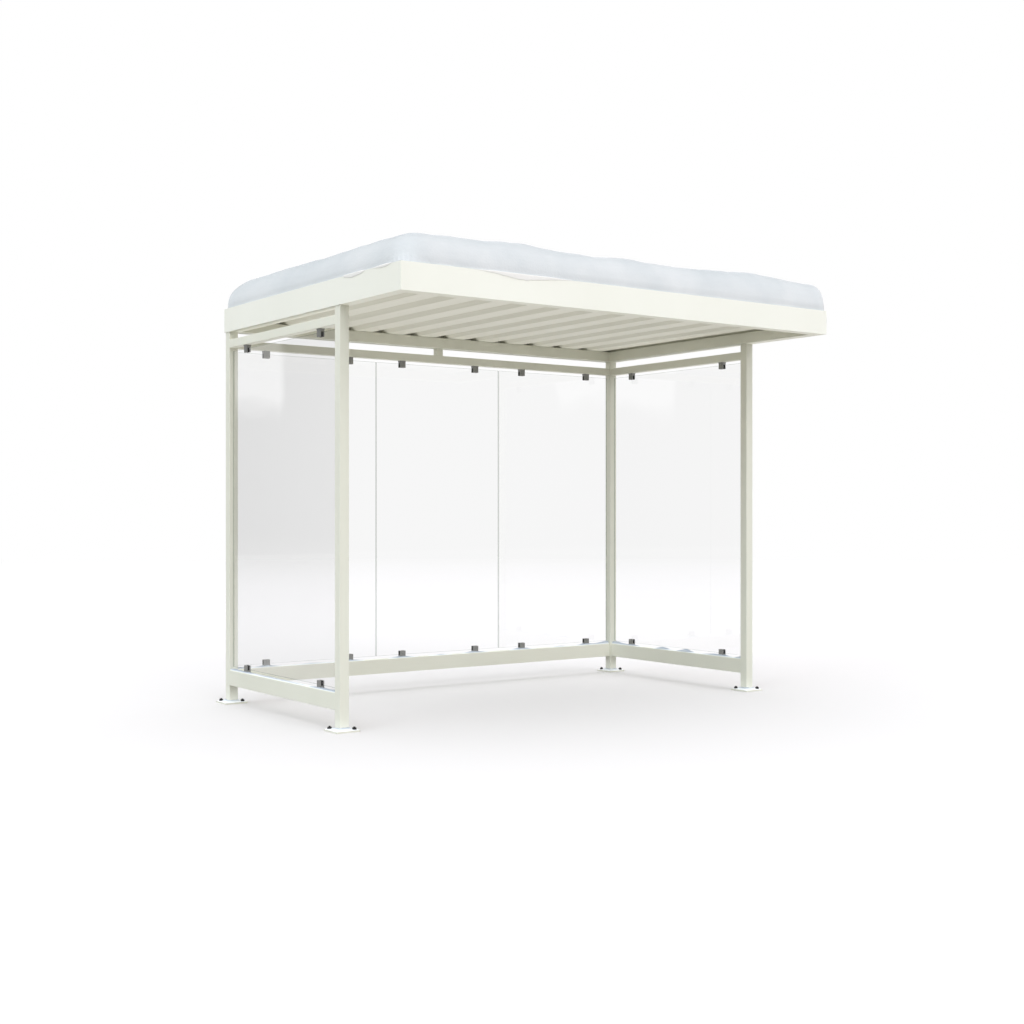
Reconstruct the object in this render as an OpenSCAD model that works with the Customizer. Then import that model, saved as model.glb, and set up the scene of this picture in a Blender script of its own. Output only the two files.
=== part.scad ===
// Open-fronted smoking shelter: a level roof frame with a trapezoidal metal sheet,
// four square posts on bolted base plates, glass on the back and both sides held by
// square clamps between top and bottom rails, and a blanket of settled snow in the
// roof tray. All sizes in mm. X runs along the back wall, Y from the open front to
// the back, Z up. The origin is on the ground, at the centre of the bounding box.

/* [Roof] */
// Length of the roof, along the back wall
roof_l = 3300; // [2700:10:3900]
// Depth of the roof, from its front edge to its rear edge
roof_w = 2250; // [1900:10:2600]
// Height of the roof frame's underside above the ground
roof_z = 2440; // [2250:10:2600]
// Height of the fascia plate round the roof
fascia_h = 155; // [135:5:200]
// Thickness of the fascia plate
fascia_t = 5; // [3:1:8]
// Side of the square tube of the roof frame
ring = 75; // [60:5:90]
// Wall of the roof frame's tube
ring_t = 4; // [3:0.5:6]
// Outer corner radius of the roof frame's tube
ring_r = 4; // [2:0.5:8]

/* [Roof sheet] */
// Distance from rib to rib of the roof sheet
rib_pitch = 258; // [220:1:280]
// Depth of a rib
rib_h = 35; // [20:1:45]
// Width of a rib at its foot
rib_foot = 126; // [100:1:140]
// Width of the flat crown of a rib
rib_crown = 40; // [25:1:60]
// Thickness of the roof sheet
sheet_t = 1; // [0.7:0.1:1.5]
// Gap between two sheets where they lap
lap_gap = 0.3; // [0.2:0.1:0.6]
// Gap between the sheets and the fascia all round
sheet_gap = 10; // [4:1:16]

/* [Posts] */
// Side of a square post
post = 60; // [50:5:75]
// Wall of a post
post_t = 3; // [2:0.5:5]
// Outer corner radius of a post
post_r = 2.5; // [1:0.5:8]
// From the roof's front edge back to the front posts
front_set = 680; // [400:5:900]
// From the roof's rear edge forward to the rear posts
rear_set = 10; // [5:1:30]

/* [Base plates] */
// Side of a base plate
plate = 155; // [140:1:180]
// Thickness of a base plate
plate_t = 10; // [6:1:15]
// Corner radius of a base plate
plate_r = 3; // [1:0.5:8]
// From the plate's centre to an anchor hole, along X and along Y
anchor_off = 52; // [50:1:56]
// Diameter of an anchor hole
anchor_d = 14; // [11:0.5:18]

/* [Rails] */
// Width of the rails, flush with the outer faces of the posts
rail_w = 50; // [40:5:60]
// Height of the top rails
top_rail_h = 54; // [40:1:60]
// Gap between the top rails and the roof frame
top_gap = 52; // [30:1:90]
// Height of the bottom rails
low_rail_h = 100; // [60:5:120]
// Gap between the ground and the bottom rails
low_gap = 120; // [60:5:200]
// Wall of the rails
rail_t = 3; // [2:0.5:4]
// Outer corner radius of the rails
rail_r = 2.5; // [1:0.5:7]

/* [Glass] */
// Thickness of the glass
glass_t = 10; // [8:1:12]
// Gap between a pane and the rail above or below it
glass_gap = 22; // [16:1:28]
// Gap between a pane and the post beside it
post_gap = 10; // [5:1:20]
// Gap at a joint between two panes of the back wall
pane_joint = 5; // [3:1:10]
// Number of panes in the back wall
back_panes = 3; // [3:1:5]
// How far its joints stand to the right of an even division
joint_shift = 7; // [0:1:20]

/* [Clamps] */
// Width of a clamp along its rail
clamp_w = 45; // [36:1:55]
// Depth of a clamp across the glass
clamp_d = 26; // [24:1:32]
// Height of a clamp from its rail
clamp_h = 49; // [38:1:60]
// Chamfer on the free edges of a clamp
clamp_c = 2; // [1:0.5:3]
// Thickness of a clamp's foot
foot_t = 6; // [2:0.5:10]
// How far the foot stands out round the clamp
foot_out = 3; // [1:0.5:5]
// Thickness of the rubber liner between clamp and glass
liner_t = 3; // [1:0.5:4]
// How far the liner stays in from the clamp's ends
liner_in = 1; // [0.5:0.5:3]
// From a pane's side edge to the middle of its clamps
clamp_inset = 210; // [120:1:300]

/* [Snow] */
// Height of the snow above the fascia
snow_h = 190; // [60:2:260]
// Width of its rounded shoulder on the left
snow_left = 185; // [60:5:300]
// Width of its shoulder on the right, where the wind has cut it steep
snow_right = 45; // [30:5:300]
// Width of its shoulder at the front
snow_front = 150; // [60:5:300]
// Width of its shoulder at the rear
snow_rear = 70; // [60:5:300]
// Gap between the snow and the fascia's inner face
snow_gap = 2; // [1:0.5:6]
// Gap between the snow and the roof sheet
snow_rest = 0.3; // [0.2:0.1:0.8]

/* [Hidden] */
$fn = 48;

// The rear base plates stand out behind the roof, so the roof's middle lies forward
rear_over = (plate - post) / 2 - rear_set;
y_front = -(roof_w + rear_over) / 2;
y_rear = y_front + roof_w;
y_mid = (y_front + y_rear) / 2;
// Outer faces of the roof tube, flush with the outer faces of the posts at the sides
ring_x = roof_l / 2 - fascia_t;
ring_y0 = y_front + fascia_t;
ring_y1 = y_rear - fascia_t;
sheet_z = roof_z + ring;
fascia_z = roof_z + fascia_h;
// Post centres
post_x = ring_x - post / 2;
post_y0 = y_front + front_set + post / 2;
post_y1 = y_rear - rear_set - post / 2;
// Rails run from post to post
rail_x = ring_x - rail_w / 2;
rail_y = post_y1 + post / 2 - rail_w / 2;
side_y0 = post_y0 + post / 2;
side_y1 = post_y1 - post / 2;
back_half = post_x - post / 2;
top_z1 = roof_z - top_gap;
top_z0 = top_z1 - top_rail_h;
low_z1 = low_gap + low_rail_h;
// Panes
glass_z0 = low_z1 + glass_gap;
glass_z1 = top_z0 - glass_gap;
back_clear = 2 * (back_half - post_gap);
back_w = (back_clear - (back_panes - 1) * pane_joint) / back_panes;
side_w = side_y1 - side_y0 - 2 * post_gap;
side_mid = (side_y0 + side_y1) / 2;
slot_w = glass_t + 2 * liner_t;
// Ribs on each side of the middle rib, and the rib where an outer sheet laps
rib_n = floor((ring_x - sheet_gap - rib_foot / 2) / rib_pitch);
lap_n = round(rib_n / 3);
sheet_x = ring_x - sheet_gap;
rib_run = (rib_foot - rib_crown) / 2;

cream = "#f3f4ea";
steel = "#8d8f92";
clear = [0.86, 0.9, 0.92, 0.35];

// ---- shared shapes ----

// Square or oblong with round corners
module round_rect(w, h, r) {
    square([w - 2 * r, h], center = true);
    square([w, h - 2 * r], center = true);
    for (sx = [-1, 1], sy = [-1, 1])
        translate([sx * (w / 2 - r), sy * (h / 2 - r)]) circle(r);
}

// Cross-section of a rectangular hollow section
module tube(w, h, t, r) {
    difference() {
        round_rect(w, h, r);
        round_rect(w - 2 * t, h - 2 * t, max(r - t, 0.5));
    }
}

// Lay a profile along X: its width lies along Y and its height along Z
module along_x(len) {
    translate([-len / 2, 0, 0]) rotate([90, 0, 90]) linear_extrude(len) children();
}

// Lay a profile along Y: its width lies along X and its height along Z
module along_y(len) {
    translate([0, len / 2, 0]) rotate([90, 0, 0]) linear_extrude(len) children();
}

// ---- roof frame ----

// A front or rear tube of the roof frame, mitred into the side tubes
module beam_x(y_out, y_in) {
    color(cream) intersection() {
        translate([0, (y_out + y_in) / 2, roof_z + ring / 2])
            along_x(2 * ring_x) tube(ring, ring, ring_t, ring_r);
        translate([0, 0, roof_z - 1]) linear_extrude(ring + 2)
            polygon([[-ring_x, y_out], [ring_x, y_out],
                     [ring_x - ring, y_in], [ring - ring_x, y_in]]);
    }
}

// A side tube of the roof frame, on the left (side = -1) or the right (side = 1)
module beam_y(side) {
    color(cream) intersection() {
        translate([side * (ring_x - ring / 2), y_mid, roof_z + ring / 2])
            along_y(ring_y1 - ring_y0) tube(ring, ring, ring_t, ring_r);
        translate([0, 0, roof_z - 1]) linear_extrude(ring + 2)
            polygon([[side * ring_x, ring_y0], [side * ring_x, ring_y1],
                     [side * (ring_x - ring), ring_y1 - ring],
                     [side * (ring_x - ring), ring_y0 + ring]]);
    }
}

module roof_beam_front() { beam_x(ring_y0, ring_y0 + ring); }
module roof_beam_rear() { beam_x(ring_y1, ring_y1 - ring); }
module roof_beam_left() { beam_y(-1); }
module roof_beam_right() { beam_y(1); }

// Fascia plates: the front and rear ones cover the ends of the side ones
module fascia_x(y) {
    color(cream) translate([-roof_l / 2, y, roof_z]) cube([roof_l, fascia_t, fascia_h]);
}
module fascia_y(side) {
    color(cream) translate([side > 0 ? ring_x : -roof_l / 2, ring_y0, roof_z])
        cube([fascia_t, ring_y1 - ring_y0, fascia_h]);
}
module fascia_front() { fascia_x(y_front); }
module fascia_rear() { fascia_x(y_rear - fascia_t); }
module fascia_left() { fascia_y(-1); }
module fascia_right() { fascia_y(1); }

// ---- trapezoidal roof sheet ----

// Underside of one rib at x, raised by up where it laps over its neighbour
function rib_pts(x, up) =
    let (run = up * rib_run / rib_h)
    [[x - rib_foot / 2 - run, 0], [x - rib_crown / 2, rib_h + up],
     [x + rib_crown / 2, rib_h + up], [x + rib_foot / 2 + run, 0]];

// Underside of a sheet from rib a to rib b; lap marks a raised end rib
function sheet_pts(a, b, lap_a, lap_b) =
    [for (k = [a:b], p = rib_pts(k * rib_pitch,
         (k == a && lap_a) || (k == b && lap_b) ? sheet_t + lap_gap : 0)) p];

// The web of an end rib stops a little above the pan
function cut_end(p, q) = p + (q - p) * 0.25;

module sheet(pts) {
    color(cream) translate([0, y_mid, sheet_z])
        along_y(roof_w - 2 * fascia_t - 2 * sheet_gap)
            polygon(concat(pts, [for (i = [len(pts) - 1:-1:0]) pts[i] + [0, sheet_t]]));
}

module outer_sheet() {
    q = sheet_pts(lap_n, rib_n, true, false);
    first = cut_end(q[0], q[1]);
    sheet(concat([first], [for (i = [1:len(q) - 1]) q[i]], [[sheet_x, 0]]));
}
module roof_sheet_right() { outer_sheet(); }
module roof_sheet_left() { mirror([1, 0, 0]) outer_sheet(); }
module roof_sheet_middle() {
    q = sheet_pts(-lap_n, lap_n, false, false);
    n = len(q) - 1;
    sheet(concat([cut_end(q[0], q[1])], [for (i = [1:n - 1]) q[i]],
                 [cut_end(q[n], q[n - 1])]));
}

// ---- posts and base plates ----

module post_at(x, y) {
    color(cream) translate([x, y, plate_t])
        linear_extrude(roof_z - plate_t) tube(post, post, post_t, post_r);
}
module post_front_left() { post_at(-post_x, post_y0); }
module post_front_right() { post_at(post_x, post_y0); }
module post_rear_left() { post_at(-post_x, post_y1); }
module post_rear_right() { post_at(post_x, post_y1); }

// Two anchor holes on one diagonal
module base_plate(x, y) {
    color(cream) translate([x, y, 0]) difference() {
        linear_extrude(plate_t) round_rect(plate, plate, plate_r);
        for (s = [-1, 1])
            translate([s * anchor_off, -s * anchor_off, -1])
                cylinder(h = plate_t + 2, d = anchor_d);
    }
}
module base_plate_front_left() { base_plate(-post_x, post_y0); }
module base_plate_front_right() { base_plate(post_x, post_y0); }
module base_plate_rear_left() { base_plate(-post_x, post_y1); }
module base_plate_rear_right() { base_plate(post_x, post_y1); }

// ---- rails ----

module side_rail(side, z0, h) {
    color(cream) translate([side * rail_x, (side_y0 + side_y1) / 2, z0 + h / 2])
        along_y(side_y1 - side_y0) tube(rail_w, h, rail_t, rail_r);
}
module back_rail(z0, h) {
    color(cream) translate([0, rail_y, z0 + h / 2])
        along_x(2 * back_half) tube(rail_w, h, rail_t, rail_r);
}
module top_rail_left() { side_rail(-1, top_z0, top_rail_h); }
module top_rail_right() { side_rail(1, top_z0, top_rail_h); }
module top_rail_back() { back_rail(top_z0, top_rail_h); }
module bottom_rail_left() { side_rail(-1, low_gap, low_rail_h); }
module bottom_rail_right() { side_rail(1, low_gap, low_rail_h); }
module bottom_rail_back() { back_rail(low_gap, low_rail_h); }

// Stub of rail tube that ties the long back rail to the roof frame
module back_spacer() {
    color(cream) translate([0, rail_y, top_z1])
        linear_extrude(top_gap) tube(rail_w, rail_w, rail_t, rail_r);
}

// ---- glass ----

// Left and right edges of a pane of the back wall
function pane_x0(i) =
    -back_clear / 2 + i * (back_w + pane_joint) + (i > 0 ? joint_shift : 0);
function pane_x1(i) = i < back_panes - 1 ? pane_x0(i + 1) - pane_joint : back_clear / 2;

module back_pane(i) {
    color(clear) translate([pane_x0(i), rail_y - glass_t / 2, glass_z0])
        cube([pane_x1(i) - pane_x0(i), glass_t, glass_z1 - glass_z0]);
}
module side_pane(side) {
    color(clear) translate([side * rail_x - glass_t / 2, side_mid - side_w / 2, glass_z0])
        cube([glass_t, side_w, glass_z1 - glass_z0]);
}
module glass_left() { side_pane(-1); }
module glass_right() { side_pane(1); }
module glass_back_left() { back_pane(0); }
module glass_back_middle() { for (i = [1:back_panes - 2]) back_pane(i); }
module glass_back_right() { back_pane(back_panes - 1); }

// ---- clamps ----

// End view of a clamp: foot on the rail at 0, jaws up to clamp_h, slot for the glass
module clamp_profile() {
    w = clamp_d / 2;
    f = w + foot_out;
    s = slot_w / 2;
    b = glass_gap - liner_t;
    polygon([[-f, 0], [f, 0], [f, foot_t], [w, foot_t], [w, clamp_h - clamp_c],
             [w - clamp_c, clamp_h], [s, clamp_h], [s, b], [-s, b], [-s, clamp_h],
             [clamp_c - w, clamp_h], [-w, clamp_h - clamp_c], [-w, foot_t], [-f, foot_t]]);
}

// Rubber channel between the jaws and the pane's edge
module liner_profile() {
    s = slot_w / 2;
    g = glass_t / 2;
    polygon([[-s, glass_gap - liner_t], [s, glass_gap - liner_t], [s, clamp_h],
             [g, clamp_h], [g, glass_gap], [-g, glass_gap], [-g, clamp_h], [-s, clamp_h]]);
}

// Put a clamp's parts on the bottom rail, and again upside down under the top rail
module at_rails() {
    translate([0, 0, low_z1]) children();
    translate([0, 0, top_z0]) mirror([0, 0, 1]) children();
}
module on_back() {
    for (i = [0:back_panes - 1], x = [pane_x0(i) + clamp_inset, pane_x1(i) - clamp_inset])
        translate([x, rail_y, 0]) at_rails() children();
}
module on_side(side) {
    for (s = [-1, 1])
        translate([side * rail_x, side_mid + s * (side_w / 2 - clamp_inset), 0])
            rotate([0, 0, 90]) at_rails() children();
}

module clamp() { color(steel) along_x(clamp_w) clamp_profile(); }
module liner() { color("#26272a") along_x(clamp_w - 2 * liner_in) liner_profile(); }

module clamps_left() { on_side(-1) clamp(); }
module clamps_right() { on_side(1) clamp(); }
module clamps_back() { on_back() clamp(); }
module clamp_liners() {
    on_side(-1) liner();
    on_side(1) liner();
    on_back() liner();
}

// ---- snow ----

snow_x = ring_x - snow_gap;
snow_y = roof_w / 2 - fascia_t - snow_gap;
// Gentle heaps and slumps that the wind has left: x, y from the roof's middle, height, radius
heaps = [[-800, -930, 15, 160], [-520, -930, -7, 160], [-240, -930, -19, 140],
         [-20, -930, 10, 140], [370, -930, -8, 240], [800, -930, 8, 180],
         [1060, -930, 28, 160], [1300, -930, 9, 160], [1300, 200, 12, 420],
         [-1100, 300, 10, 380], [-300, 420, 12, 460], [620, 500, -10, 380]];

// How far a point is into the shoulder: 1 at the blanket's edge, 0 where the top begins
function into(edge, width) = min(1, max(0, 1 - edge / width));
// Height of the shoulder from 0 to 1; the blanket's corners are round in plan too
function shoulder(x, y) =
    let (a = into(snow_x - abs(x), x < 0 ? snow_left : snow_right),
         b = into(snow_y - abs(y), y < 0 ? snow_front : snow_rear))
    pow(max(0, 1 - pow(a, 2.5) - pow(b, 2.5)), 1 / 2.5);
function snow_top(x, y) =
    fascia_z + shoulder(x, y) * (snow_h +
    [for (h = heaps) h[2] * exp(-(pow(x - h[0], 2) + pow(y - h[1], 2)) / pow(h[3], 2))]
    * [for (h = heaps) 1]);

// Height of the sheet's underside at x
function rib_z(x) = let (k = round(x / rib_pitch), d = abs(x - k * rib_pitch))
    abs(k) > rib_n ? 0 : rib_h * max(0, min(1, (rib_foot / 2 - d) / rib_run));

// Grid lines: over the rounded shoulders, and along the feet and crowns of the ribs
function shoulder_steps(half, low, high) = [for (t = [0, 0.04, 0.12, 0.25, 0.43, 0.68])
    each [t * low - half, half - t * high]];
function sorted(v) = len(v) < 2 ? v : let (p = v[floor(len(v) / 2)]) concat(
    sorted([for (x = v) if (x < p) x]), [p], sorted([for (x = v) if (x > p) x]));
function spaced(v, gap) =
    [for (i = [0:len(v) - 1]) if (i == 0 || v[i] - v[i - 1] > gap) v[i]];
gx = spaced(sorted(concat(shoulder_steps(snow_x, snow_left, snow_right),
    [for (k = [-rib_n:rib_n], p = rib_pts(k * rib_pitch, 0)) p[0]])), 0.05);
gy = sorted(concat(shoulder_steps(snow_y, snow_front, snow_rear),
    [for (t = [0:1 / 12:1]) (1 - t) * (snow_front - snow_y) + t * (snow_y - snow_rear)]));
nx = len(gx);
ny = len(gy);
// Height of the snow's underside above the sheets' underside
snow_lift = 2 * sheet_t + lap_gap + snow_rest;

module roof_snow() {
    z0 = sheet_z + snow_lift;
    top = [for (y = gy, x = gx) [x, y, snow_top(x, y)]];
    under = [for (y = [-snow_y, snow_y], x = gx) [x, y, z0 + rib_z(x)]];
    nt = nx * ny;
    nb = nt + nx;
    tris = [for (j = [0:ny - 2], i = [0:nx - 2], h = [0, 1])
        let (a = j * nx + i, b = a + 1, c = a + nx, d = c + 1) h ? [b, c, d] : [a, c, b]];
    walls = [for (i = [0:nx - 2]) each [
        [nt + i, nt + i + 1, nb + i + 1, nb + i],
        [i, i + 1, nt + i + 1, nt + i],
        [nb + i, nb + i + 1, nb - nx - nx + i + 1, nb - nx - nx + i]]];
    left_end = concat([nt, nb], [for (j = [ny - 1:-1:0]) j * nx]);
    right_end = concat([nb + nx - 1, nb - 1], [for (j = [0:ny - 1]) j * nx + nx - 1]);
    color("#eef2f8") translate([0, y_mid, 0])
        polyhedron(concat(top, under), concat(tris, walls, [left_end, right_end]));
}

roof_beam_front();
roof_beam_rear();
roof_beam_left();
roof_beam_right();
fascia_front();
fascia_rear();
fascia_left();
fascia_right();
roof_sheet_left();
roof_sheet_middle();
roof_sheet_right();
post_front_left();
post_front_right();
post_rear_left();
post_rear_right();
base_plate_front_left();
base_plate_front_right();
base_plate_rear_left();
base_plate_rear_right();
top_rail_left();
top_rail_back();
top_rail_right();
back_spacer();
bottom_rail_left();
bottom_rail_back();
bottom_rail_right();
glass_left();
glass_back_left();
glass_back_middle();
glass_back_right();
glass_right();
clamps_left();
clamps_back();
clamps_right();
clamp_liners();
roof_snow();
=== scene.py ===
import math

import bpy
from mathutils import Matrix, Vector, noise


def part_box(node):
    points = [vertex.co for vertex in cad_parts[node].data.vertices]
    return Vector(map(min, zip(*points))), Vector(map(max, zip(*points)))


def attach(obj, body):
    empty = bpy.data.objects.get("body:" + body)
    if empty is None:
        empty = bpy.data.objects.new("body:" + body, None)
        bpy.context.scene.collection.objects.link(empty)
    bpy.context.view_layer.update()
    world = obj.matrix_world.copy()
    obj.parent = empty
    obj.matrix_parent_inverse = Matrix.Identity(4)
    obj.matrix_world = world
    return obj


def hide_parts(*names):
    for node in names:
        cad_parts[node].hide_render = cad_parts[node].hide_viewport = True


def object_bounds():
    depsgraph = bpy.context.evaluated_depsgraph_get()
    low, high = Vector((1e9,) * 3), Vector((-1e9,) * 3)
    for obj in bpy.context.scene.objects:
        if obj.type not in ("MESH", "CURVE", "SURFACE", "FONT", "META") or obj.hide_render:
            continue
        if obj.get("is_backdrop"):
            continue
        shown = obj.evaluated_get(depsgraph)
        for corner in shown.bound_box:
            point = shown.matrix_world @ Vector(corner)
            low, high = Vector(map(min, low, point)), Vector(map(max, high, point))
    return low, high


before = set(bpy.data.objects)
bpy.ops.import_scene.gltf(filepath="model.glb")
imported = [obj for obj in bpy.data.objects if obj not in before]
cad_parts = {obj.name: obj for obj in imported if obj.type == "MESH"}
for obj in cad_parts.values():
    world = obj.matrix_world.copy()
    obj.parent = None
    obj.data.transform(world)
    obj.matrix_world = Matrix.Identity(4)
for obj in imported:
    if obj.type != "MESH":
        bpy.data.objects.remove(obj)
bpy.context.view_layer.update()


# ---- View, light and floor ----
# The shelter stands on a plain pale floor under an even overcast sky, seen from eye level
# across its left front corner. Two broad weak suns stand for the brighter haze in front and on
# the left, and a third shines up through the floor for the glow of the snowy ground.

bpy.ops.object.camera_add(location=(-5.560, -7.636, 1.257),
                          rotation=(math.radians(90), 0, math.radians(-35.53)))
camera = bpy.context.object
camera.name = "eye_level_view"
camera.data.lens = 50
camera.data.sensor_width = 36
bpy.context.scene.camera = camera
bpy.context.scene.view_settings.view_transform = "Standard"


def colour(code):
    """An sRGB hex colour as linear RGBA."""
    values = [int(code[i:i + 2], 16) / 255 for i in (1, 3, 5)]
    return [v / 12.92 if v <= 0.04045 else ((v + 0.055) / 1.055) ** 2.4 for v in values] + [1]


def linked(tree, made, links):
    """Joins sockets, or the first sockets of other nodes, to the sockets of a node."""
    for socket, source in links.items():
        tree.links.new(getattr(source, "outputs", [source])[0], made.inputs[socket])


def node(tree, kind, links=None, **settings):
    """A shader node; settings name its properties or sockets, links join others to it."""
    made = tree.nodes.new(kind)
    for name, value in settings.items():
        if hasattr(made, name):
            setattr(made, name, value)
        else:
            made.inputs[name.replace("_", " ")].default_value = value
    linked(tree, made, links or {})
    return made


white = (1, 1, 1, 1)
sky = bpy.data.worlds.new("overcast_sky")
sky.use_nodes = True
tree = sky.node_tree
tree.nodes.clear()
direction = node(tree, "ShaderNodeTexCoord").outputs["Generated"]
height = node(tree, "ShaderNodeSeparateXYZ", {"Vector": direction}).outputs["Z"]
inland = node(tree, "ShaderNodeSeparateXYZ", {"Vector": direction}).outputs["Y"]
# What lights things: bright low down and overhead, dim between
low_light = node(tree, "ShaderNodeMapRange", {"Value": height},
                 From_Min=0.05, From_Max=0.3, To_Min=1.2, To_Max=0)
high_light = node(tree, "ShaderNodeMapRange", {"Value": height},
                  From_Min=0.2, From_Max=1, To_Min=0, To_Max=2.35)
dome = node(tree, "ShaderNodeMath", {0: low_light, 1: high_light}, operation="MAXIMUM")
# What gloss shows: white sky above a low grey skyline with two gaps
gap_rhythm, gap_shift = 41, 1.95
turned = node(tree, "ShaderNodeMath", {0: inland}, operation="MULTIPLY_ADD")
turned.inputs[1].default_value, turned.inputs[2].default_value = gap_rhythm, gap_shift
waves = node(tree, "ShaderNodeMath", {0: turned}, operation="SINE")
roofs = node(tree, "ShaderNodeMapRange", {"Value": waves},
             From_Min=0.5, From_Max=0.8, To_Min=0.17, To_Max=0.06)
speckle = node(tree, "ShaderNodeTexNoise", {"Vector": direction}, Scale=30, Detail=3)
uneven = node(tree, "ShaderNodeMapRange", {"Value": speckle.outputs["Fac"]},
              From_Min=0.3, From_Max=0.7, To_Min=0, To_Max=0.02)
skyline = node(tree, "ShaderNodeMath", {0: roofs, 1: uneven}, operation="ADD")
above = node(tree, "ShaderNodeMath", {0: height, 1: skyline}, operation="SUBTRACT")
field_tone = node(tree, "ShaderNodeMapRange", {"Value": height},
                  From_Min=-0.04, From_Max=0.01, To_Min=0.45, To_Max=0)
roofs_tone = node(tree, "ShaderNodeMapRange", {"Value": inland},
                  From_Min=0.8, From_Max=0.9, To_Min=0.36, To_Max=0.22)
sky_tone = node(tree, "ShaderNodeMapRange", {"Value": above},
                From_Min=-0.012, From_Max=0.012, To_Min=0, To_Max=1)
land = node(tree, "ShaderNodeMath", {0: field_tone, 1: roofs_tone}, operation="MAXIMUM")
mirrored = node(tree, "ShaderNodeMath", {0: land, 1: sky_tone}, operation="MAXIMUM")
seen = node(tree, "ShaderNodeLightPath")
glossy = node(tree, "ShaderNodeMix", {"Factor": seen.outputs["Is Glossy Ray"], "A": dome,
                                      "B": mirrored})
# The eye sees plain white behind the shelter, also through glass
plain = node(tree, "ShaderNodeMath", {0: seen.outputs["Is Camera Ray"],
                                      1: seen.outputs["Is Transmission Ray"]},
             operation="MAXIMUM")
strength = node(tree, "ShaderNodeMix", {"Factor": plain, "A": glossy}, B=1.0)
light = node(tree, "ShaderNodeBackground", {"Strength": strength}, Color=white)
node(tree, "ShaderNodeOutputWorld", {"Surface": light})
bpy.context.scene.world = sky

# Name, turn from straight above, turn about Z, strength, spread and tint
for name, tilt, turn, energy, spread, tint in (
        ("haze_in_front", 60, 0, 0.92, 40, (1, 1, 1)),
        ("haze_on_the_left", 60, -80, 0.82, 40, (0.84, 0.97, 1)),
        ("snow_glow_from_below", 160, 90, 1.65, 40, (1, 0.97, 0.935))):
    bpy.ops.object.light_add(type="SUN", rotation=(math.radians(tilt), 0, math.radians(turn)))
    sun = bpy.context.object
    sun.name = name
    sun.data.energy = energy
    sun.data.angle = math.radians(spread)
    sun.data.color = tint

bpy.ops.object.select_all(action="DESELECT")
bpy.ops.mesh.primitive_plane_add(size=60, location=(0, 0, 0))
floor = bpy.context.object
floor.name = "pale_floor"
floor.visible_shadow = False
ground = bpy.data.materials.new("pale_ground")
ground.use_nodes = True
tree = ground.node_tree
tree.nodes.clear()
# Light bounces off it as off darker ground, but the eye sees it pale, with soft shadows
bounce = node(tree, "ShaderNodeBsdfDiffuse", Color=(0.165, 0.16, 0.14, 1))
shade = node(tree, "ShaderNodeBsdfDiffuse", Color=(0.61, 0.60, 0.61, 1))
glow = node(tree, "ShaderNodeEmission", Color=white, Strength=0.05)
pale = node(tree, "ShaderNodeAddShader", {0: shade, 1: glow})
# Far away it fades into the white of the sky
place = node(tree, "ShaderNodeTexCoord").outputs["Object"]
away = node(tree, "ShaderNodeVectorMath", {0: place}, operation="LENGTH").outputs["Value"]
mist = node(tree, "ShaderNodeMapRange", {"Value": away},
            From_Min=12, From_Max=29, To_Min=0, To_Max=1)
misty = node(tree, "ShaderNodeEmission", Color=white, Strength=1.0)
faded = node(tree, "ShaderNodeMixShader", {0: mist, 1: pale, 2: misty})
# In gloss it is white too, and greyer far away
greyer = node(tree, "ShaderNodeMapRange", {"Value": away},
              From_Min=5, From_Max=29, To_Min=0.85, To_Max=0.5)
mirrored = node(tree, "ShaderNodeEmission", {"Strength": greyer}, Color=white)
seen = node(tree, "ShaderNodeLightPath")
plain = node(tree, "ShaderNodeMath", {0: seen.outputs["Is Camera Ray"],
                                      1: seen.outputs["Is Transmission Ray"]},
             operation="MAXIMUM")
both = node(tree, "ShaderNodeMixShader", {0: plain, 1: bounce, 2: faded})
every = node(tree, "ShaderNodeMixShader", {0: seen.outputs["Is Glossy Ray"], 1: both,
                                           2: mirrored})
node(tree, "ShaderNodeOutputMaterial", {"Surface": every})
floor.data.materials.append(ground)
floor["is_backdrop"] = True


# ---- Base plates, posts, rails and roof frame ----
# Square and oblong hollow steel sections, welded flush and powder coated cream white in one
# go. The baked coating is smooth with a fine orange peel and a soft satin gloss.

def surface(name, tint, rough, metal=0.0, **more):
    """A named material with one shader; returns the material, its tree and that shader."""
    made = bpy.data.materials.new(name)
    made.use_nodes = True
    tree = made.node_tree
    tree.nodes.clear()
    shader = node(tree, "ShaderNodeBsdfPrincipled", Base_Color=colour(tint), Roughness=rough,
                  Metallic=metal, **more)
    node(tree, "ShaderNodeOutputMaterial", {"Surface": shader})
    return made, tree, shader


def pattern(tree, size_mm, stretch=(1, 1, 1), detail=2.0):
    """A noise whose spots measure about size_mm on the piece, drawn out along stretch."""
    place = node(tree, "ShaderNodeTexCoord").outputs["Object"]
    fit = node(tree, "ShaderNodeMapping", {"Vector": place}, Scale=[1 / s for s in stretch])
    return node(tree, "ShaderNodeTexNoise", {"Vector": fit},
                Scale=1000 / size_mm, Detail=detail).outputs["Fac"]


def tinted(tree, factor, low, high, start=0.3, end=0.7):
    """A colour that goes from low to high as factor goes from start to end."""
    way = node(tree, "ShaderNodeMapRange", {"Value": factor},
               From_Min=start, From_Max=end, To_Min=0, To_Max=1)
    mix = node(tree, "ShaderNodeMix", {"Factor": way}, data_type="RGBA")
    mix.inputs[6].default_value, mix.inputs[7].default_value = colour(low), colour(high)
    return mix.outputs[2]


def finish_nodes(material, *starts):
    """Gives the material to every CAD node whose name begins with one of starts."""
    for name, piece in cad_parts.items():
        if name.startswith(starts):
            piece.data.materials.clear()
            piece.data.materials.append(material)


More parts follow.
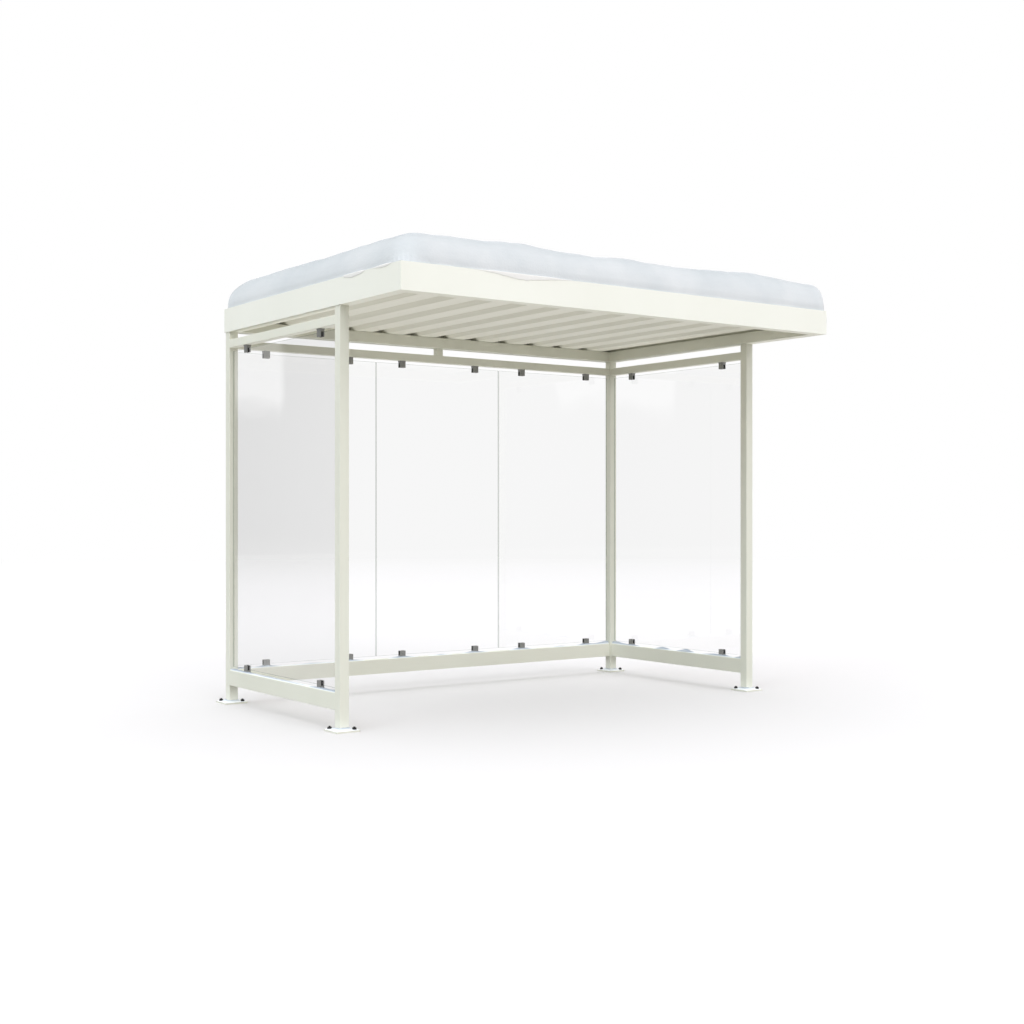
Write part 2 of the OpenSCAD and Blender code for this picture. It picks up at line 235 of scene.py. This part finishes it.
def powder_coat(name, low, high):
    """A cream powder coat whose tone wanders between two near colours."""
    made, tree, shader = surface(name, high, 0.36)
    cloudy = pattern(tree, 700, stretch=(1, 1, 3), detail=4)
    rough = node(tree, "ShaderNodeMapRange", {"Value": pattern(tree, 60, detail=3)},
                 From_Min=0.3, From_Max=0.7, To_Min=0.32, To_Max=0.42)
    peel = node(tree, "ShaderNodeBump", {"Height": pattern(tree, 3, detail=1)},
                Distance=0.00006)
    linked(tree, shader, {"Base Color": tinted(tree, cloudy, low, high), "Roughness": rough,
                          "Normal": peel})
    return made


coat = powder_coat("powder_coated_steel", "#e9e9dd", "#eeeee3")
finish_nodes(coat, "base_plate", "post", "top_rail", "bottom_rail", "back_spacer", "roof_beam")
# The fascia boards get a whiter copy of the same coat: painted light for the fuller sky that
# falls on them up above the posts
lit_fascia_coat = powder_coat("powder_coat_painted_lighter", "#f7f7ef", "#fbfbf4")
finish_nodes(lit_fascia_coat, "fascia")


# ---- Roof sheets ----
# Roll-formed trapezoidal steel sheet, coil coated in the same cream before it was formed.
# The thin coat is flatter than powder, with faint streaks along the rolling direction, and
# the thin steel buckles very slightly.

coil, tree, shader = surface("coil_coated_sheet", "#eeeee4", 0.45)
streak = pattern(tree, 14, stretch=(1, 60, 1), detail=3)
buckle = node(tree, "ShaderNodeBump", {"Height": pattern(tree, 250, stretch=(1, 3, 1))},
              Distance=0.0005)
linked(tree, shader, {"Base Color": tinted(tree, streak, "#ebeae0", "#f0f0e6"),
                      "Normal": buckle})
finish_nodes(coil, "roof_sheet")


# ---- Anchors ----
# Two M12 anchors hold each base plate down, on one diagonal: a broad washer, a heavy hexagon
# nut and the end of the threaded stud. Steel with a black coating, a little worn.

black, tree, shader = surface("black_coated_steel", "#1e1f21", 0.5, Specular_IOR_Level=0.35)
worn = pattern(tree, 5, detail=3)
rough = node(tree, "ShaderNodeMapRange", {"Value": worn},
             From_Min=0.5, From_Max=0.8, To_Min=0.42, To_Max=0.65)
linked(tree, shader, {"Base Color": tinted(tree, worn, "#18191b", "#34332f", 0.5, 0.8),
                      "Roughness": rough})


def deselect():
    """Back to object mode with nothing selected, before a new primitive is added."""
    if bpy.context.mode != "OBJECT":
        bpy.ops.object.mode_set(mode="OBJECT")
    bpy.ops.object.select_all(action="DESELECT")


def modify(piece, kind, **settings):
    """Adds one modifier and applies it."""
    bpy.context.view_layer.objects.active = piece
    made = piece.modifiers.new(kind.lower(), kind)
    for name, value in settings.items():
        setattr(made, name, value)
    bpy.ops.object.modifier_apply(modifier=made.name)


def join(pieces, name):
    """Joins pieces into one, with its place in its mesh."""
    deselect()
    for piece in pieces:
        piece.select_set(True)
    bpy.context.view_layer.objects.active = pieces[0]
    bpy.ops.object.join()
    bpy.ops.object.transform_apply(location=True, rotation=True, scale=True)
    pieces[0].name = name
    return pieces[0]


def copied(piece, shift):
    """A copy with its own mesh, moved by shift."""
    twin = piece.copy()
    twin.data = piece.data.copy()
    bpy.context.scene.collection.objects.link(twin)
    twin.location = piece.location + Vector(shift)
    return twin


def dressed(piece, material):
    """Gives a finished piece its one material and its body."""
    piece.data.materials.clear()
    piece.data.materials.append(material)
    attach(piece, "root")


def faces_where(piece, test):
    """Enters edit mode with just the faces selected whose normal passes test."""
    bpy.context.view_layer.objects.active = piece
    bpy.ops.object.mode_set(mode="EDIT")
    bpy.ops.mesh.select_mode(type="FACE")
    bpy.ops.mesh.select_all(action="DESELECT")
    bpy.ops.object.mode_set(mode="OBJECT")
    for face in piece.data.polygons:
        face.select = test(face.normal)
    bpy.ops.object.mode_set(mode="EDIT")


washer_r, washer_t = 0.0145, 0.0030
nut_r, nut_h, nut_rise = 0.0127, 0.0110, 0.0008
stud_r, stud_h, stud_out, thread = 0.0056, 0.004, 0.0050, 1.08
deselect()
bpy.ops.mesh.primitive_cylinder_add(vertices=40, radius=washer_r, depth=washer_t,
                                    location=(0, 0, washer_t / 2))
washer = bpy.context.object
modify(washer, "BEVEL", width=0.0006, segments=2, limit_method="ANGLE")
deselect()
bpy.ops.mesh.primitive_cylinder_add(vertices=6, radius=nut_r, depth=nut_h - nut_rise,
                                    location=(0, 0, washer_t + nut_h / 2 - nut_rise / 2))
nut = bpy.context.object
faces_where(nut, lambda normal: normal.z > 0.9)
bpy.ops.mesh.inset(thickness=0.0012)
bpy.ops.transform.translate(value=(0, 0, nut_rise))
bpy.ops.object.mode_set(mode="OBJECT")
modify(nut, "BEVEL", width=0.0005, segments=2, limit_method="ANGLE")
deselect()
bpy.ops.mesh.primitive_cylinder_add(vertices=20, radius=stud_r, depth=stud_h,
                                    location=(0, 0, washer_t + nut_h - stud_h / 2))
stud = bpy.context.object
faces_where(stud, lambda normal: normal.z > 0.9)
turns = 3
for turn in range(turns):
    # One turn of the thread: out to the crest and back to the root
    for scale in (thread, 1 / thread):
        bpy.ops.mesh.extrude_region_move(
            TRANSFORM_OT_translate={"value": (0, 0, stud_out / (2 * turns))})
        bpy.ops.transform.resize(value=(scale, scale, 1))
bpy.ops.mesh.bevel(offset=0.0006, segments=2)
bpy.ops.object.mode_set(mode="OBJECT")
anchor = join([washer, nut, stud], "anchor")
bpy.ops.object.shade_smooth_by_angle(angle=math.radians(35))
anchor_off = 0.052    # from the plate's middle, along both of its sides
corners = ("front_left", "front_right", "rear_left", "rear_right")
for place in corners:
    low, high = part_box("base_plate_" + place)
    middle = (low + high) / 2
    pair = join([copied(anchor, (middle.x + s * anchor_off, middle.y - s * anchor_off, high.z))
                 for s in (-1, 1)], "anchors_" + place)
    dressed(pair, black)
bpy.data.objects.remove(anchor)


# ---- Weld beads ----
# The posts are welded to their base plates and the rails to the posts, all the way round,
# before coating. The beads are small fillets under the same powder coat.

def bead(centre, width, height, turn, thick):
    """A round bead along the edges of an oblong, which faces +Z before it is turned."""
    deselect()
    bpy.ops.mesh.primitive_plane_add(size=1, location=centre, rotation=turn)
    ring = bpy.context.object
    ring.scale = (width, height, 1)
    bpy.ops.object.transform_apply(location=False, rotation=False, scale=True)
    bpy.ops.object.mode_set(mode="EDIT")
    bpy.ops.mesh.delete(type="ONLY_FACE")
    bpy.ops.object.mode_set(mode="OBJECT")
    bpy.ops.object.convert(target="CURVE")
    ring.data.bevel_depth = thick
    ring.data.bevel_resolution = 2
    bpy.ops.object.convert(target="MESH")
    return bpy.context.object


quarter = math.radians(90)
across_x, across_y = (quarter, 0, quarter), (quarter, 0, 0)
foot_bead, rail_bead = 0.003, 0.0015
for place in corners:
    low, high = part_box("post_" + place)
    foot = Vector(((low.x + high.x) / 2, (low.y + high.y) / 2, low.z))
    ring = bead(foot, high.x - low.x, high.y - low.y, (0, 0, 0), foot_bead)
    dressed(join([ring], "weld_post_" + place), coat)
for name in [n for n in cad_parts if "_rail_" in n]:
    low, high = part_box(name)
    middle, size = (low + high) / 2, high - low
    if name.endswith("back"):
        rings = [bead((x, middle.y, middle.z), size.y, size.z, across_x, rail_bead)
                 for x in (low.x, high.x)]
    else:
        rings = [bead((middle.x, y, middle.z), size.x, size.z, across_y, rail_bead)
                 for y in (low.y, high.y)]
    dressed(join(rings, "weld_" + name), coat)
low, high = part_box("back_spacer")
middle, size = (low + high) / 2, high - low
rings = [bead((middle.x, middle.y, z), size.x, size.y, (0, 0, 0), rail_bead)
         for z in (low.z, high.z)]
dressed(join(rings, "weld_back_spacer"), coat)


# ---- Glass ----
# Clear toughened float glass, 10 mm thick. The faces are colourless and show the sky and the
# far skyline faintly; the ground edges are grey and only half clear.

def clear_surface(name, tint, rough):
    """A see-through material that passes light straight on and mirrors more at a slant."""
    made = bpy.data.materials.new(name)
    made.use_nodes = True
    tree = made.node_tree
    tree.nodes.clear()
    seen = node(tree, "ShaderNodeLightPath")
    # Light that falls on other things goes straight through
    lighting = node(tree, "ShaderNodeMath", {0: seen.outputs["Is Shadow Ray"],
                                             1: seen.outputs["Is Diffuse Ray"]},
                    operation="MAXIMUM")
    inside = node(tree, "ShaderNodeNewGeometry").outputs["Backfacing"]
    unmirrored = node(tree, "ShaderNodeMath", {0: lighting, 1: inside}, operation="MAXIMUM")
    # Both faces of the pane mirror, so the front one stands for the two
    share = node(tree, "ShaderNodeMapRange", {"Value": unmirrored},
                 From_Min=0, From_Max=1, To_Min=1.85, To_Max=0)
    slant = node(tree, "ShaderNodeFresnel", IOR=1.5)
    mirroring = node(tree, "ShaderNodeMath", {0: slant, 1: share}, operation="MULTIPLY")
    through = node(tree, "ShaderNodeBsdfTransparent", Color=colour(tint))
    gloss = node(tree, "ShaderNodeBsdfGlossy", Roughness=rough)
    both = node(tree, "ShaderNodeMixShader", {0: mirroring, 1: through, 2: gloss})
    node(tree, "ShaderNodeOutputMaterial", {"Surface": both})
    return made


face_glass = clear_surface("clear_float_glass", "#fefefe", 0.02)
edge_glass = clear_surface("ground_glass_edge", "#d9dcd9", 0.25)
for name in [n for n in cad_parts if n.startswith("glass")]:
    low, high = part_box(name)
    deselect()
    bpy.ops.mesh.primitive_cube_add(size=1, location=(low + high) / 2)
    pane = bpy.context.object
    pane.scale = high - low
    bpy.ops.object.transform_apply(location=True, rotation=True, scale=True)
    modify(pane, "BEVEL", width=0.001, segments=1)
    pane.name = name.replace("glass", "pane")
    dressed(pane, face_glass)
    pane.data.materials.append(edge_glass)
    thin_axis = 1 if "back" in name else 0
    for side in pane.data.polygons:
        side.material_index = 0 if abs(side.normal[thin_axis]) > 0.9 else 1
    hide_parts(name)


# ---- Glass clamps and their rubber ----
# Square clamps cut from satin stainless bar, milled with a slot for the glass and a foot
# that sits on the rail. One button-head socket screw closes each on its inner face. The metal
# is bright but soft, and its grain is drawn coarser than the real one so that it shows.

steel, tree, shader = surface("satin_stainless_steel", "#a3a3a1", 0.38, metal=1.0)
grain = pattern(tree, 1.2, stretch=(12, 12, 1), detail=2)
rough = node(tree, "ShaderNodeMapRange", {"Value": grain},
             From_Min=0.3, From_Max=0.7, To_Min=0.34, To_Max=0.46)
linked(tree, shader, {"Base Color": tinted(tree, grain, "#8d8d8b", "#a2a2a0"),
                      "Roughness": rough})
finish_nodes(steel, "clamps")

# A screw that faces -Y, with its head on the plane y = 0
screw_r, head_h, socket_r = 0.0052, 0.0026, 0.0021
deselect()
bpy.ops.mesh.primitive_cylinder_add(vertices=36, radius=screw_r, depth=head_h,
                                    location=(0, -head_h / 2, 0), rotation=(quarter, 0, 0))
bpy.ops.object.transform_apply(location=True, rotation=True, scale=True)
screw = bpy.context.object
faces_where(screw, lambda normal: normal.y < -0.9)
bpy.ops.mesh.bevel(offset=0.0014, segments=3)
bpy.ops.object.mode_set(mode="OBJECT")
deselect()
bpy.ops.mesh.primitive_cylinder_add(vertices=6, radius=socket_r, depth=0.004,
                                    location=(0, -head_h, 0), rotation=(quarter, 0, 0))
cutter = bpy.context.object
modify(screw, "BOOLEAN", object=cutter, operation="DIFFERENCE", solver="EXACT")
bpy.data.objects.remove(cutter)
deselect()
screw.select_set(True)
bpy.context.view_layer.objects.active = screw
bpy.ops.object.shade_smooth_by_angle(angle=math.radians(35))

clamp_inset, clamp_half, screw_up = 0.210, 0.013, 0.035
low_z, high_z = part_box("bottom_rail_back")[1].z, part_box("top_rail_back")[0].z


def clamp_middles(name):
    """The middles of a pane's clamps along its wall, from the pane's ends."""
    low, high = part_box("glass_" + name)
    if name.startswith("back"):
        return [Vector((x, (low.y + high.y) / 2, 0))
                for x in (low.x + clamp_inset, high.x - clamp_inset)]
    return [Vector(((low.x + high.x) / 2, y, 0))
            for y in (low.y + clamp_inset, high.y - clamp_inset)]


for wall, panes, turn in (("back", ("back_left", "back_middle", "back_right"), 0),
                          ("left", ("left",), 1), ("right", ("right",), -1)):
    inward = Matrix.Rotation(turn * quarter, 4, "Z") @ Vector((0, -clamp_half, 0))
    screws = []
    for middle in [m for pane in panes for m in clamp_middles(pane)]:
        for z in (low_z + screw_up, high_z - screw_up):
            one = copied(screw, middle + inward + Vector((0, 0, z)))
            one.rotation_euler.z = turn * quarter
            screws.append(one)
    dressed(join(screws, "clamp_screws_" + wall), steel)
bpy.data.objects.remove(screw)

# Moulded channels that hold the glass in the slots, black, dull and a little uneven
rubber, tree, shader = surface("epdm_rubber", "#1b1b1b", 0.7)
uneven = node(tree, "ShaderNodeBump", {"Height": pattern(tree, 2)}, Distance=0.00005)
linked(tree, shader, {"Normal": uneven})
finish_nodes(rubber, "clamp_liners")


# ---- Snow on the roof ----
# A deep blanket of settled snow fills the tray of the roof and rises above the fascia in a
# rounded shoulder, with low heaps and slumps along it. It is soft, matt and a cold white.

snow, tree, shader = surface("settled_snow", "#dde2e6", 0.75, Specular_IOR_Level=0.25)
drift = tinted(tree, pattern(tree, 240, stretch=(1, 1.6, 1), detail=4), "#dce0e5", "#e8eaee")
# Painted shade: the blanket's colour is darker where it faces up, to hold back the strong light
# from above, and darker towards its foot just above the rim
rim, foot_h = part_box("fascia_front")[1].z, 0.09
normal = node(tree, "ShaderNodeNewGeometry").outputs["Normal"]
up = node(tree, "ShaderNodeSeparateXYZ", {"Vector": normal}).outputs["Z"]
place = node(tree, "ShaderNodeTexCoord").outputs["Object"]
high = node(tree, "ShaderNodeSeparateXYZ", {"Vector": place}).outputs["Z"]
level = node(tree, "ShaderNodeMapRange", {"Value": up},
             From_Min=0, From_Max=0.8, To_Min=0, To_Max=1)
foot = node(tree, "ShaderNodeMapRange", {"Value": high},
            From_Min=rim, From_Max=rim + foot_h, To_Min=0.28, To_Max=0)
# Painted shade on the up-facing snow and on the foot of the blanket
painted_shade = node(tree, "ShaderNodeMath", {0: level, 1: foot}, operation="MAXIMUM")
shade_painted_colour = node(tree, "ShaderNodeMix", {"Factor": painted_shade, 6: drift},
              data_type="RGBA", blend_type="MULTIPLY")
shade_painted_colour.inputs[7].default_value = (0.59, 0.60, 0.60, 1)
# Clumps and soft hollows; single grains are too fine to show
clumps = node(tree, "ShaderNodeMath", {0: pattern(tree, 14, detail=3),
                                       1: pattern(tree, 90, detail=3)}, operation="ADD")
crust = node(tree, "ShaderNodeBump", {"Height": clumps}, Distance=0.0012)
linked(tree, shader, {"Base Color": shade_painted_colour.outputs[2], "Normal": crust})


def draped(name, columns, rows, place):
    """A grid whose vertices go where place(u, v) says, with u and v from 0 to 1."""
    deselect()
    bpy.ops.mesh.primitive_grid_add(x_subdivisions=columns, y_subdivisions=rows, size=2)
    sheet = bpy.context.object
    sheet.name = name
    for vertex in sheet.data.vertices:
        vertex.co = place((vertex.co.x + 1) / 2, (vertex.co.y + 1) / 2)
    return sheet


def outward(piece):
    """Closes seams, turns the faces outwards and smooths all but sharp edges."""
    bpy.context.view_layer.objects.active = piece
    bpy.ops.object.mode_set(mode="EDIT")
    bpy.ops.mesh.select_all(action="SELECT")
    bpy.ops.mesh.remove_doubles(threshold=0.00002)
    bpy.ops.mesh.normals_make_consistent(inside=False)
    bpy.ops.object.mode_set(mode="OBJECT")
    bpy.ops.object.shade_smooth_by_angle(angle=math.radians(60))


def filled_below(piece, depth):
    """Makes a draped sheet solid, with a skirt depth high round it and a flat underside."""
    bpy.context.view_layer.objects.active = piece
    bpy.ops.object.mode_set(mode="EDIT")
    bpy.ops.mesh.select_mode(type="EDGE")
    bpy.ops.mesh.select_all(action="DESELECT")
    bpy.ops.mesh.select_non_manifold()
    bpy.ops.mesh.extrude_region_move(TRANSFORM_OT_translate={"value": (0, 0, -depth)})
    bpy.ops.mesh.edge_face_add()
    bpy.ops.object.mode_set(mode="OBJECT")
    outward(piece)


tray_low, tray_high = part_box("roof_snow")
half_x, half_y = (tray_high.x - tray_low.x) / 2, (tray_high.y - tray_low.y) / 2
middle_y = (tray_high.y + tray_low.y) / 2
depth_above_rim, round_off = 0.190, 2.5
shoulder_left, shoulder_right, shoulder_front, shoulder_rear = 0.185, 0.045, 0.150, 0.070
# Heaps and slumps: x and y from the roof's middle, height and reach, in metres
heaps = [(-0.80, -0.93, 0.015, 0.16), (-0.52, -0.93, -0.001, 0.16),
         (-0.24, -0.93, -0.013, 0.14), (-0.02, -0.93, 0.010, 0.14),
         (0.37, -0.93, -0.002, 0.24), (0.80, -0.93, 0.011, 0.18), (1.06, -0.93, 0.028, 0.16),
         (1.30, -0.93, 0.015, 0.16), (1.30, 0.20, 0.012, 0.42), (-1.10, 0.30, 0.010, 0.38),
         (-0.30, 0.42, 0.012, 0.46), (0.62, 0.50, -0.010, 0.38), (-1.42, -0.13, -0.014, 0.17),
         (-1.62, 1.07, -0.022, 0.08), (-1.46, -0.95, -0.006, 0.15)]


def into(edge, width):
    """How far a point is into a shoulder: 1 at the blanket's edge, 0 where the top begins."""
    return min(1, max(0, 1 - edge / width))


def snow_top(x, y):
    """The height of the blanket's top at a place from the roof's middle."""
    across = into(half_x - abs(x), shoulder_left if x < 0 else shoulder_right)
    along = into(half_y - abs(y), shoulder_front if y < 0 else shoulder_rear)
    # The front left corner is round and the right ones are filled almost square
    fill = 4 if x > 0 else 1 if y < 0 else 2
    edge = (across ** (round_off * fill) + along ** (round_off * fill)) ** (1 / fill)
    rounding = max(0, 1 - edge) ** (1 / round_off)
    lumps = sum(h * math.exp(-((x - a) ** 2 + (y - b) ** 2) / r ** 2)
                for a, b, h, r in heaps)
    at = Vector((x, y, 0))
    lumps += 0.006 * noise.noise(at * 2.6) + 0.003 * noise.noise(at * 9)
    # Low folds that run aslant, where the blanket has crept
    lumps += 0.004 * noise.noise(Vector((x * 9 + y * 8, y * 3, 1)))
    return rim + rounding * (depth_above_rim + lumps)


def on_roof(u, v):
    """A place on the blanket; the grid is finer towards its edges."""
    x = half_x * math.sin((u - 0.5) * math.pi)
    y = half_y * math.sin((v - 0.5) * math.pi)
    return Vector((x, middle_y + y, snow_top(x, y)))


sheet_gap = 0.0005
blanket = draped("snow_blanket", 230, 160, on_roof)
filled_below(blanket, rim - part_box("roof_sheet_left")[1].z - sheet_gap)
dressed(blanket, snow)
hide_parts("roof_snow")


# ---- Tongues of snow over the fascia ----
# In three places the blanket has slid a little over the fascia's top edge and frozen as a
# thin lip, whiter than the rest because light shines through it.

lip, tree, shader = surface("thin_frozen_snow", "#f3f1f0", 0.6, Specular_IOR_Level=0.3)
ripple = node(tree, "ShaderNodeBump", {"Height": pattern(tree, 30, detail=4)},
              Distance=0.0015)
linked(tree, shader, {"Normal": ripple})
roof_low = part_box("fascia_front")[0]
# How thick a lip is, how high it starts above the rim, how far it reaches in over the rim, how
# close it hangs to the fascia, and the drop from which on it is full
lip_t, lip_up, lip_in, lip_gap, full_drop = 0.0025, 0.004, 0.006, 0.0002, 0.010


def tongue(name, side, drops):
    """A lip along one side; drops are (place along the side, how far it hangs there)."""
    def hang(along):
        """How far it hangs at a place, smoothly from one of the drops to the next."""
        spots = [drops[0]] + drops + [drops[-1]]
        for before, (first, low), (last, high), after in zip(spots, spots[1:], spots[2:],
                                                             spots[3:]):
            if first <= along <= last and last > first:
                way = (along - first) / (last - first)
                rise = (high - before[1]) / 2
                fall = (after[1] - low) / 2
                return (low + way * rise + way ** 2 * (3 * (high - low) - 2 * rise - fall)
                        + way ** 3 * (rise + fall - 2 * (high - low)))
        return 0

    def place(u, v):
        along = drops[0][0] + (drops[-1][0] - drops[0][0]) * u
        drop = max(0, hang(along)) * (1 + 0.15 * noise.noise(Vector((along * 30, 0, lip_t))))
        full = min(1, drop / full_drop)
        across, up = math.cos(2 * math.pi * v), math.sin(2 * math.pi * v)
        half = (drop + lip_up * full) / 2
        z = rim + lip_up * full - half + half * math.copysign(abs(up) ** 0.6, up)
        out = lip_t * full * math.copysign(abs(across) ** 0.3, across)
        if across < 0:
            out = lip_gap * full if z < rim else -lip_in * full * abs(across)
        if side == "front":
            return Vector((along, roof_low.y - out, z))
        return Vector((roof_low.x - out, along, z))

    piece = draped(name, 160, 28, place)
    outward(piece)
    dressed(piece, lip)


tongue("snow_tongue_front", "front",
       [(-1.19, 0), (-1.10, 0.006), (-1.03, 0.011), (-0.96, 0.020), (-0.89, 0.028),
        (-0.84, 0.030), (-0.78, 0.025), (-0.73, 0.020), (-0.63, 0.010), (-0.54, 0.004),
        (-0.46, 0)])
tongue("snow_tongue_left_middle", "left",
       [(-0.77, 0), (-0.71, 0.014), (-0.61, 0.020), (-0.54, 0.012), (-0.49, 0)])
tongue("snow_tongue_left_near", "left", [(-1.07, 0), (-0.98, 0.011), (-0.90, 0.008), (-0.83, 0)])


# ---- Snow on the bottom rails ----
# Wet snow left on top of the bottom rails: small banks against the clamps and the posts, with
# thin patches between them. Where there is none the sheet dips into the rail's top.

def wet_snow(name, bare, deep):
    """Snow that is white while thin, up to the height bare, and darker and bluer from deep on:
    painted shade, most on faces that look up.
    """
    made, tree, shader = surface(name, "#e6ebf1", 0.5, Specular_IOR_Level=0.4)
    place = node(tree, "ShaderNodeTexCoord").outputs["Object"]
    high = node(tree, "ShaderNodeSeparateXYZ", {"Vector": place}).outputs["Z"]
    normal = node(tree, "ShaderNodeNewGeometry").outputs["Normal"]
    up = node(tree, "ShaderNodeSeparateXYZ", {"Vector": normal}).outputs["Z"]
    thick = node(tree, "ShaderNodeMapRange", {"Value": high},
                 From_Min=bare, From_Max=deep, To_Min=0, To_Max=1)
    level = node(tree, "ShaderNodeMapRange", {"Value": up},
                 From_Min=0.1, From_Max=0.9, To_Min=0.1, To_Max=1)
    # Painted shade: thick snow is darkened, most where it faces up
    painted_shade = node(tree, "ShaderNodeMath", {0: thick, 1: level}, operation="MULTIPLY")
    thin_to_heaped_tint = tinted(tree, thick, "#f0f4f9", "#dfe5ec", 0, 1)
    shade_painted_colour = node(tree, "ShaderNodeMix", {"Factor": painted_shade, 6: thin_to_heaped_tint},
                  data_type="RGBA", blend_type="MULTIPLY")
    shade_painted_colour.inputs[7].default_value = (0.48, 0.52, 0.58, 1)
    slush = node(tree, "ShaderNodeBump", {"Height": pattern(tree, 8, detail=3)},
                 Distance=0.0015)
    linked(tree, shader, {"Base Color": shade_painted_colour.outputs[2], "Normal": slush})
    return made


rail_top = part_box("bottom_rail_back")[1].z
# Banks taller than a few millimetres are painted darker, as shade on them
rail_snow = wet_snow("wet_snow_on_rails", rail_top + 0.001, rail_top + 0.006)
# Half the width of a bank, just inside the rail's edges, and how deep its border is sunk in
bank_half, sunk = 0.0235, 0.001


def bank(name, rail, drifts, lean=0.0):
    """Snow along a rail; drifts are (place along it, height, reach), lean moves it outwards."""
    low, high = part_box(rail)
    lengthwise = 0 if high.x - low.x > high.y - low.y else 1

    def place(u, v):
        along = low[lengthwise] + (high[lengthwise] - low[lengthwise]) * u
        heap = sum(h * math.exp(-((along - at) / reach) ** 2) for at, h, reach in drifts)
        heap *= 1 + 0.3 * noise.noise(Vector((along * 18, 0, low.z)))
        heap += 0.0015 * noise.noise(Vector((along * 70, 3 * v, low.x)))
        side = 2 * v - 1
        shifted = side + (lean + 0.25 * noise.noise(Vector((along * 11, 7, 0)))) * (1 - side ** 2)
        height = max(0, heap) * max(0, 1 - abs(shifted) ** 2.5) ** 0.5 - sunk
        across = (low[1 - lengthwise] + high[1 - lengthwise]) / 2 + bank_half * side
        height = -sunk if abs(side) > 0.999 or u in (0, 1) else height
        spot = (along, across) if lengthwise == 0 else (across, along)
        return Vector((spot[0], spot[1], high.z + height))

    piece = draped(name, 420, 18, place)
    filled_below(piece, sunk)
    dressed(piece, rail_snow)


def at_clamps(names, axis, height, reach):
    """A drift at each clamp of the named panes."""
    return [(middle[axis], height, reach) for n in names for middle in clamp_middles(n)]


bank("snow_on_back_rail", "bottom_rail_back",
     at_clamps(("back_left", "back_middle", "back_right"), 0, 0.014, 0.075)
     + [(-1.56, 0.012, 0.07), (-1.02, 0.006, 0.16), (0.02, 0.006, 0.07), (1.11, 0.006, 0.07),
        (1.575, 0.020, 0.10)])
bank("snow_on_right_rail", "bottom_rail_right",
     at_clamps(("right",), 1, 0.013, 0.075)
     + [(1.02, 0.021, 0.10), (0.454, 0.018, 0.065), (0.204, 0.020, 0.070),
        (-0.07, 0.008, 0.09), (-0.39, 0.017, 0.06)])
bank("snow_on_left_rail", "bottom_rail_left",
     at_clamps(("left",), 1, 0.009, 0.10)
     + [(1.00, 0.012, 0.08), (0.50, 0.006, 0.22), (0.15, 0.004, 0.20), (-0.36, 0.010, 0.10)],
     lean=0.35)


# ---- Snow on the base plates ----
# A thin wet layer lies on each plate round the anchors, and is banked up against the post.

plate_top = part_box("base_plate_front_left")[1].z
# The bank against the post is painted grey-blue, as shade at the post's foot
plate_snow = wet_snow("wet_snow_on_plates", plate_top + 0.003, plate_top + 0.014)
# The bare margin of a plate, and the depth of the layer and how far in from its edge it is full
margin, layer_h, layer_edge = 0.003, 0.0025, 0.010
# The height of the bank and its reach from the post, half the width of a post, and how far all
# of it stands off the plate
bank_h, bank_reach, post_half, lift = 0.010, 0.016, 0.03, 0.0001

for place in corners:
    low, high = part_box("base_plate_" + place)
    middle, half = (low + high) / 2, (high.x - low.x) / 2 - margin

    def on_plate(u, v):
        x, y = half * (2 * u - 1), half * (2 * v - 1)
        edge = half - max(abs(x), abs(y))
        from_post = math.hypot(max(0, abs(x) - post_half), max(0, abs(y) - post_half))
        layer = layer_h * min(1, edge / layer_edge) ** 0.5
        uneven = noise.noise(Vector((x * 30 + middle.x, y * 30 + middle.y, 3)))
        layer += (bank_h + 0.003 * uneven) * math.exp(-(from_post / bank_reach) ** 2)
        return Vector((middle.x + x, middle.y + y, high.z + layer * (1 + 0.2 * uneven) + lift))

    piece = draped("snow_on_plate_" + place, 56, 56, on_plate)
    filled_below(piece, lift)
    dressed(piece, plate_snow)


# ---- Size of the finished model ----

low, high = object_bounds()
